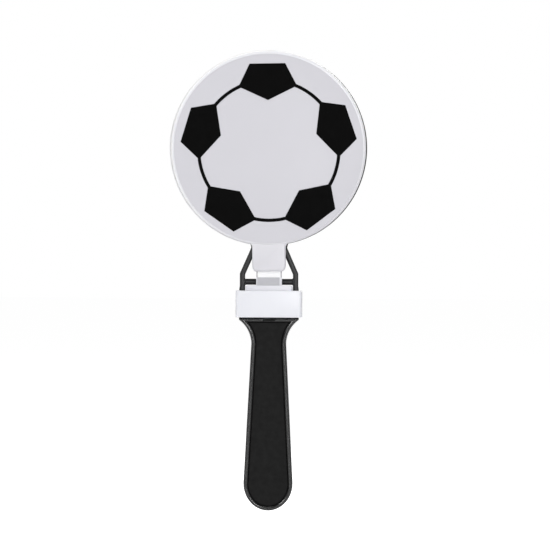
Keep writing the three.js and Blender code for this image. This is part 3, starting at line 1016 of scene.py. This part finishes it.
def neck_outline(inset, steps=12):
    """The neck's outline, drawn in by inset: elliptical corners at the foot, fillets at the disc."""
    top = bar_z + DISC_RISE + NECK_ROOT
    fillet_z = bar_z + DISC_RISE - FILLET_DROP
    radius = NECK_FILLET + inset
    opening = min(FILLET_TURN, math.degrees(math.asin(min((top - fillet_z) / radius, 1))))
    centre_x = NECK_HALF - NECK_CORNER_WIDTH
    centre_z = bar_z + NECK_FOOT_RISE + NECK_CORNER_RISE
    right = []
    for i in range(steps + 1):
        angle = math.pi / 2 * i / steps
        x = centre_x + (NECK_CORNER_WIDTH - inset) * math.sin(angle)
        right.append((x, centre_z - (NECK_CORNER_RISE - inset) * math.cos(angle)))
    right += arc(NECK_HALF + NECK_FILLET, fillet_z, radius, 180, 180 - opening, steps)
    return mirrored(right + [(right[-1][0], top + HAIR)])


def neck():
    """The neck before its pockets are cut."""
    front = pan_front - NECK_STEP
    section = [(NECK_BACK_EDGE, NECK_BACK), (0.0, NECK_BACK + NECK_BACK_EDGE)]
    edge = arc(0, front - NECK_EDGE, NECK_EDGE, 0, 90)
    section += [(NECK_EDGE - reach, depth) for reach, depth in edge]
    rings = [[Vector((x, -depth, z)) for x, z in neck_outline(inset)] for inset, depth in section]
    return skin("neck", rings)


def pockets():
    """What the two pockets behind the neck take away."""
    outlines = []
    for side in (-1, 1):
        inner, outer = side * NECK_RIB / 2, side * (NECK_HALF - PAN_RIM)
        low, high = NECK_FOOT_RISE + POCKET_RISE, DISC_RISE
        corners = [(inner, low), (outer, low), (outer, high), (inner, high)]
        outlines.append(above_bar(rounded([(x, z, POCKET_CORNER) for x, z in corners])))
    return plate("pockets", outlines, -NECK_BACK - POCKET_DEPTH, 0, POCKET_EDGE)


print("neck:", round(2 * NECK_HALF / mm, 1), "mm wide")

# %% [markdown]
# ## Two clappers from one drawing
#
# The rear clapper is the same moulding turned over, so one function draws the front one. Each also hangs
# a little out of line on its soft web. Turning the finished object would do, but a piece has to keep its
# origin where the model's is, so the points of the mesh are turned. The model's boxes say by how much.


# %% Make the clapper mouldings
def turned_over(piece, side):
    """Turns a piece that was drawn for the front round to its side."""
    if side == "rear":
        piece.data.transform(Matrix.Rotation(math.pi, 4, "Z"))
    return piece


def sway(side):
    """How far a clapper hangs out of line, as an angle about Y."""
    low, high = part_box(side + "_clapper")
    return math.atan2((low.x + high.x) / 2, disc_centre.z - front_hinge.z)


def place_clapper(piece, side):
    """Turns a piece that was drawn for the front clapper, hanging straight, into its place."""
    pivot = Matrix.Translation((0, 0, front_hinge.z))
    lean = pivot @ Matrix.Rotation(sway(side), 4, "Y") @ pivot.inverted()
    turned_over(piece, side).data.transform(lean)
    return piece


def clapper(side):
    """One clapper in its place, in one clean skin."""
    plastic_here = clapper_pp[side]
    pan = stand_up(turned(side + "_clapper_moulding", pan_profile(), plastic_here), disc_centre)
    boolean(pan, neck(), "UNION")
    boolean(pan, pockets(), "DIFFERENCE")
    boolean(pan, pin_marks(PAN_PINS, pan_floor, plastic_here), "UNION")
    return finish(place_clapper(pan, side), plastic_here)


clappers = {side: clapper(side) for side in SIDES}
for side, piece in clappers.items():
    leaning = round(math.degrees(sway(side)), 2)
    print(side, "clapper:", len(piece.data.polygons), "faces, leans", leaning, "degrees")

# %% [markdown]
# ## The hinge webs
#
# Below its neck a clapper thins to a film of about half a millimetre that bends thousands of times before
# it tires. A plain box would only kink at its ends. The film gets many short rows of points instead,
# spread evenly from the tongue to the neck.

# %% Make the webs
WEB_OVERLAP = 0.5 * mm  # the film runs this far into the neck and the tongue
WEB_ROWS = 40
WEB_ROUND = 0.06 * mm
WEB_INSIDE = 0.02 * mm  # how far each face stays inside the model's
WAIST_DEPTH = 0.1 * mm
WAIST_SHARPNESS = 7  # how suddenly the film thins, in shares of its length
web_low, web_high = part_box("front_hinge_web")


def rectangle(across, up):
    """The corners of a rectangle round the origin, from its half sizes."""
    return [(across, up), (-across, up), (-across, -up), (across, -up)]


def web_row(share):
    """The film's section at a share of its length."""
    half = (web_high.x - web_low.x) / 2
    middle = (web_low.y + web_high.y) / 2
    thick = (web_high.y - web_low.y) / 2 - WEB_INSIDE
    depth = thick - WAIST_DEPTH * math.exp(-(((share - 0.5) * WAIST_SHARPNESS) ** 2))
    low = web_low.z - SEAT_GAP - WEB_OVERLAP
    high = bar_z + NECK_FOOT_RISE + WEB_OVERLAP
    section = rounded([(x, y, WEB_ROUND) for x, y in rectangle(half, depth)], steps=3)
    return [Vector((x, middle + y, low + (high - low) * share)) for x, y in section]


def hinge_web(side):
    """One film in its place."""
    web = skin(side + "_web_film", [web_row(row / WEB_ROWS) for row in range(WEB_ROWS + 1)])
    return finish(turned_over(web, side), web_pp)


webs = {side: hinge_web(side) for side in SIDES}
print("web:", len(webs["front"].data.polygons), "faces")

# %% [markdown]
# ## The feet
#
# Each web ends in a foot: a tongue that passes the crossbar, a plug that fills the window below it and a
# flange in front of the legs. It could be carved from one block, but three plates joined follow the way
# it works. A small Bevel comes last, so that the joined edges are rounded too.

# %% Draw the parts of a foot
STRIKE_GAP = 0.3 * mm  # between pieces that move past each other
FOOT_SPLIT_HALF = 0.2 * mm
FLANGE_BACK = 2.35 * mm
FLANGE_LAP = 0.4 * mm  # inside the collar the flange laps the legs
FLANGE_CLEAR = 0.45 * mm  # above it the flange is narrower than the window
FLANGE_SHOULDER = 0.5 * mm
FLANGE_SLOPE = 0.45 * mm  # how far below the collar's top it narrows, and over how much
PLUG_OVERLAP = 0.8 * mm
PLUG_DROP = 0.4 * mm  # the plug ends this far below the flange's top
TONGUE_ROOT = 1.0 * mm
TONGUE_HALF = 6.75 * mm
foot_front = -foot_low.y
foot_top = bar_z - BAR_RADIUS - STRIKE_GAP


def flange():
    """The flange, which the collar presses on the legs."""
    lap = leg_inside + FLANGE_LAP
    shown = leg_inside - FLANGE_CLEAR
    low, high = grip_top + SEAT_GAP, collar_high.z - FLANGE_SLOPE
    right = [(lap, low), (lap, high - FLANGE_SLOPE), (shown, high), (shown - FLANGE_SHOULDER, foot_top)]
    return plate("flange", [mirrored(right)], -foot_front, -FLANGE_BACK, 0)


def plug():
    """The plug in the window, up to just short of the rear foot's."""
    half = leg_inside - SEAT_GAP
    right = [(half, bar_z - WINDOW_DROP + SEAT_GAP), (half, foot_top - PLUG_DROP)]
    return plate("plug", [mirrored(right)], -FLANGE_BACK - PLUG_OVERLAP, -FOOT_SPLIT_HALF, 0)


def tongue():
    """The tongue, which passes the crossbar in front and carries the web."""
    right = [(TONGUE_HALF, foot_top - TONGUE_ROOT), (TONGUE_HALF, foot_high.z)]
    return plate("tongue", [mirrored(right)], web_low.y, -BAR_RADIUS - STRIKE_GAP, 0)


print("tongue:", round((foot_high.z - foot_top) / mm, 2), "mm high")

# %% Make the feet
FOOT_BEVEL = 0.2 * mm
BEVEL_ANGLE = math.radians(30)


def foot(side):
    """One foot in its place."""
    whole = flange()
    whole.name = side + "_foot"
    boolean(whole, plug(), "UNION")
    boolean(whole, tongue(), "UNION")
    merge_and_orient(whole)
    soften = whole.modifiers.new("Bevel", "BEVEL")
    soften.width = FOOT_BEVEL
    soften.segments = 3
    soften.angle_limit = BEVEL_ANGLE
    return finish(turned_over(bake(whole), side), foot_pp)


feet = {side: foot(side) for side in SIDES}
print("foot:", len(feet["front"].data.polygons), "faces")

# %% [markdown]
# ## The collar
#
# The collar is a flat sleeve with rounded corners. Solidify on a tube could give it a wall, but the real
# edges are rounder outside than in the bore. So it is a skin again: a rounded rectangle, drawn in and
# moved up step by step, goes up the outside, over the top edge, down the bore and back under.

# %% Make the collar
COLLAR_CORNER = 1.8 * mm
COLLAR_WALL = 1.9 * mm
COLLAR_EDGE = 0.5 * mm
BORE_EDGE = 0.3 * mm
BORE_CORNER = 0.7 * mm


def collar_outline(inset):
    """The collar's outline, drawn in by inset."""
    corner = max(COLLAR_CORNER - inset, BORE_CORNER)
    corners = rectangle(collar_high.x - inset, collar_high.y - inset)
    return rounded([(x, y, corner) for x, y in corners])


def collar_section():
    """(inset, z) points round the wall of the collar."""
    low, high = collar_low.z, collar_high.z
    outer = arc(0, high - COLLAR_EDGE, COLLAR_EDGE, 0, 90, steps=4)
    bore = arc(0, high - BORE_EDGE, BORE_EDGE, 90, 180, steps=3)
    upper = [(COLLAR_EDGE - reach, z) for reach, z in outer]
    upper += [(COLLAR_WALL - BORE_EDGE - reach, z) for reach, z in bore]
    return upper + [(inset, low + high - z) for inset, z in reversed(upper)]


collar_rings = [[Vector((x, y, z)) for x, y in collar_outline(inset)] for inset, z in collar_section()]
collar = finish(skin("collar_sleeve", collar_rings, closed=True), collar_pp)
print("collar:", len(collar.data.polygons), "faces")

# %% [markdown]
# ## The labels
#
# A film label with a crisp die-cut edge is stuck to each clapper, a little low on the disc. A material
# could paint it on the disc, but the film's edge catches light, so it is turned from a thin profile.

# %% Make the labels
LABEL_EDGE = 0.04 * mm
label_low, label_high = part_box("front_label")
label_radius = (label_high.x - label_low.x) / 2
label_centre = Vector((0, 0, (label_low.z + label_high.z) / 2))


def label(side):
    """One label on its clapper."""
    front, back = -label_low.y, -label_high.y
    profile = [(0.0, back), (label_radius, back)]
    profile += arc(label_radius - LABEL_EDGE, front - LABEL_EDGE, LABEL_EDGE, 0, 90, steps=3)
    film = turned(side + "_label_film", profile + [(0.0, front)], label_film)
    return finish(place_clapper(stand_up(film, label_centre), side), label_film)


labels = {side: label(side) for side in SIDES}
print("label radius", round(label_radius / mm, 1), "mm")

# %% [markdown]
# ## The print
#
# The pattern is a ring of black patches joined by a curved seam, five times the same. As a texture it
# would blur up close, so it is a mesh. The script draws one patch. A second tree adds the seam that leads
# to the next patch: it sweeps a flat section along an arc. Then the ring tree copies both round. The seam
# starts and ends a little inside the patches, and its ink is a hair thinner, so no two faces lie in one
# plane.

# %% Draw one patch
OUTER_RADIUS = 46.4 * mm
OUTER_ANGLE = 11.6  # degrees from the patch's middle
SHOULDER_RADIUS = 36.85 * mm
SHOULDER_ANGLE = 24.5
POINT_RADIUS = 26.25 * mm
PATCH_CORNER = 0.12 * mm
print_low, print_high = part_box("front_print")
ink_thickness = print_high.y - print_low.y


def one_patch(name):
    """A pentagon that points at the middle of the ring, drawn at the top, flat in X and Y."""
    corners = [(OUTER_RADIUS, -OUTER_ANGLE), (OUTER_RADIUS, OUTER_ANGLE)]
    corners += [(SHOULDER_RADIUS, SHOULDER_ANGLE), (POINT_RADIUS, 0), (SHOULDER_RADIUS, -SHOULDER_ANGLE)]
    places = []
    for radius, angle in corners:
        a = math.radians(90 + angle)
        places.append((radius * math.cos(a), radius * math.sin(a), PATCH_CORNER))
    outline = rounded(places, steps=4)
    levels = (-ink_thickness / 2, ink_thickness / 2)
    return skin(name, [[Vector((x, y, z)) for x, y in outline] for z in levels])


print("ink", round(ink_thickness / mm, 3), "mm thick")

# %% The tree that adds a seam
SEAM_STEPS = 24


def seam_tree():
    """Joins a flat strip along an arc to the piece."""
    sizes = dict(radius=0.04, start=0.0, sweep=0.5, width=0.001, height=0.0001)
    tree, given = new_tree("Seam", **sizes, material="")
    path = {"Resolution": SEAM_STEPS, "Radius": given["Radius"]}
    path |= {"Start Angle": given["Start"], "Sweep Angle": given["Sweep"]}
    line = add(tree, "GeometryNodeCurveArc", path)
    size = {"Width": given["Width"], "Height": given["Height"]}
    section = add(tree, "GeometryNodeCurvePrimitiveQuadrilateral", size)
    sweep = {"Curve": line.outputs["Curve"], "Profile Curve": section.outputs[0], "Fill Caps": True}
    seam = add(tree, "GeometryNodeCurveToMesh", sweep)
    unit = add(tree, "GeometryNodeJoinGeometry", {0: given["Geometry"]})
    tree.links.new(seam.outputs[0], unit.inputs[0])
    return close_tree(tree, unit.outputs[0], given["Material"])


seam = seam_tree()
print("seam tree:", len(seam.nodes), "nodes")

# %% Make the print
PATCHES = 5
PRINT_SHIFT = Vector((0.15, 0, -0.95)) * mm  # from the label's centre
PRINT_TURN = math.radians(0.7)
SEAM_RADIUS = 36.65 * mm
SEAM_WIDTH = 1.72 * mm
SEAM_OVERLAP = 2.5  # degrees inside the patch
SEAM_INK = 0.9  # of the patches' thickness
print_centre = label_centre + Vector((0, (print_low.y + print_high.y) / 2, 0)) + PRINT_SHIFT


def print_on(side):
    """One print on its label."""
    gap = 360 / PATCHES - 2 * SHOULDER_ANGLE
    patch = grow(
        one_patch(side + "_ink"),
        seam,
        radius=SEAM_RADIUS,
        start=math.radians(90 + SHOULDER_ANGLE - SEAM_OVERLAP),
        sweep=math.radians(gap + 2 * SEAM_OVERLAP),
        width=SEAM_WIDTH,
        height=ink_thickness * SEAM_INK,
        material=black_ink,
    )
    whole = grow(patch, ring, copies=PATCHES, material=black_ink)
    whole.data.transform(Matrix.Rotation(PRINT_TURN, 4, "Z"))
    return finish(place_clapper(stand_up(whole, print_centre), side), black_ink)


prints = {side: print_on(side) for side in SIDES}
print("print:", len(prints["front"].data.polygons), "faces")

# %% [markdown]
# ## Floor and background
#
# The picture is a cut-out on pure white. An overexposed floor could give that, but its light would grey
# the black plastic. So the studio is a light table: the floor glows a little and the camera sees a white
# sky behind it, and a Light Path node makes both dimmer as lights than as a background.

# %% Make the floor
FLOOR_DROP = 120 * mm
FLOOR_SIZE = 60.0
FLOOR_GLOW = 0.85
GLOW_NEAR = 0.22
GLOW_START = 0.5
GLOW_FULL = 1.1
GLOW_FOR_LIGHT = 0.3  # the share of the glow that lights the clapper
WHITE = linear("#FFFFFF")
floor_z = cad_bounds[0][2] - FLOOR_DROP


def light_table():
    """Acrylic lit from below: soft and even, dimmer near the clapper."""
    acrylic, shader = new_material(
        "Matt white acrylic light table",
        Base_Color=linear("#F2F2F2"),
        Roughness=1.0,
        Specular_IOR_Level=0.0,
        Emission_Color=WHITE,
    )
    tree = acrylic.node_tree
    where = add(tree, "ShaderNodeTexCoord", {}).outputs["Object"]
    away = add(tree, "ShaderNodeVectorMath", {0: where}, operation="LENGTH")
    limits = {"From Min": GLOW_START, "From Max": GLOW_FULL, "To Min": GLOW_NEAR, "To Max": FLOOR_GLOW}
    glow = add(tree, "ShaderNodeMapRange", {"Value": away.outputs["Value"]} | limits)
    ray = add(tree, "ShaderNodeLightPath", {})
    shares = {"Value": ray.outputs["Is Camera Ray"], "To Min": GLOW_FOR_LIGHT}
    share = add(tree, "ShaderNodeMapRange", shares)
    power = add(tree, "ShaderNodeMath", {0: glow.outputs[0], 1: share.outputs[0]}, operation="MULTIPLY")
    tree.links.new(power.outputs[0], shader.inputs["Emission Strength"])
    return acrylic


corners = [(x, y, floor_z) for x, y in rectangle(FLOOR_SIZE / 2, FLOOR_SIZE / 2)]
floor = new_piece("floor", corners, [(0, 1, 2, 3)])
floor.data.materials.append(light_table())
print("floor at z", round(floor_z, 3))

# %% Make the sky
SKY_FOR_LIGHT = 0.16
SKY_FOR_CAMERA = 1.0


def white_sky():
    """A white sky: bright where the camera sees it, dimmer as a light."""
    sky = bpy.data.worlds.new("White studio")
    sky.use_nodes = True
    tree = sky.node_tree
    seen = tree.nodes["Background"]
    seen.inputs["Color"].default_value = WHITE
    seen.inputs["Strength"].default_value = SKY_FOR_CAMERA
    light = add(tree, "ShaderNodeBackground", {"Color": WHITE, "Strength": SKY_FOR_LIGHT})
    ray = add(tree, "ShaderNodeLightPath", {})
    choice = {0: ray.outputs["Is Camera Ray"], 1: light.outputs[0], 2: seen.outputs[0]}
    chosen = add(tree, "ShaderNodeMixShader", choice)
    tree.links.new(chosen.outputs[0], tree.nodes["World Output"].inputs["Surface"])
    return sky


scene.world = white_sky()
scene.view_settings.view_transform = "Standard"
scene.view_settings.look = "None"
print("world:", scene.world.name)

# %% [markdown]
# ## Lamps
#
# Soft lamps do the rest. A sky alone would light the clapper flatly. The key lamp, above and to the left,
# gives the direction. The side and front lamps are small, and each draws a bright line along the beads.
# The others light what faces up, right or back.


# %% Place the lamps
def lamp(name, position, size, power):
    """A square soft light that faces the crossbar. Places and sizes are in metres, power is in watts."""
    data = bpy.data.lights.new(name, "AREA")
    data.size = size
    data.energy = power
    light = bpy.data.objects.new(name, data)
    light.location = position
    towards = Vector((0, 0, bar_z)) - Vector(position)
    light.rotation_euler = towards.to_track_quat("-Z", "Y").to_euler()
    scene.collection.objects.link(light)
    print(name, "at", round(towards.length, 2), "m")


lamp("Key softbox", (-2.0, -2.4, 1.7), size=0.6, power=42)
lamp("Side softbox", (-2.0, -2.4, 0.0), size=0.5, power=4)
lamp("Front softbox", (0.4, -2.4, 0.35), size=0.35, power=12)
lamp("Top softbox", (0.0, 0.1, 2.6), size=1.5, power=24)
lamp("Fill softbox", (2.2, -1.4, 0.9), size=1.8, power=10)
lamp("Back softbox", (0.9, 2.3, 1.2), size=1.4, power=30)

# %% [markdown]
# ## Hand the pieces to the model
#
# Each piece takes the place of a node of the model, whose own mesh is hidden, and rides on the body that
# it belongs to, so that it moves when a joint does. A web lies between two bodies, so it rides on
# neither:
# its node is hidden and its points are set where they stand.


# %% Ride on the bodies
def stand_for(node):
    """Hides the node of the model whose place a piece takes."""
    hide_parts(node)


for piece in (grip, open_frame, striker):
    stand_for("grip_and_striker")
    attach(piece, "handle")
stand_for("collar")
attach(collar, "handle")

for side in SIDES:
    paddle = side + "_paddle"
    stand_for(side + "_clapper")
    stand_for(side + "_label")
    stand_for(side + "_print")
    for piece in (clappers[side], labels[side], prints[side]):
        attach(piece, paddle)
    stand_for(side + "_anchor_foot")
    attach(feet[side], "handle")
    stand_for(side + "_hinge_web")
    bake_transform(webs[side])
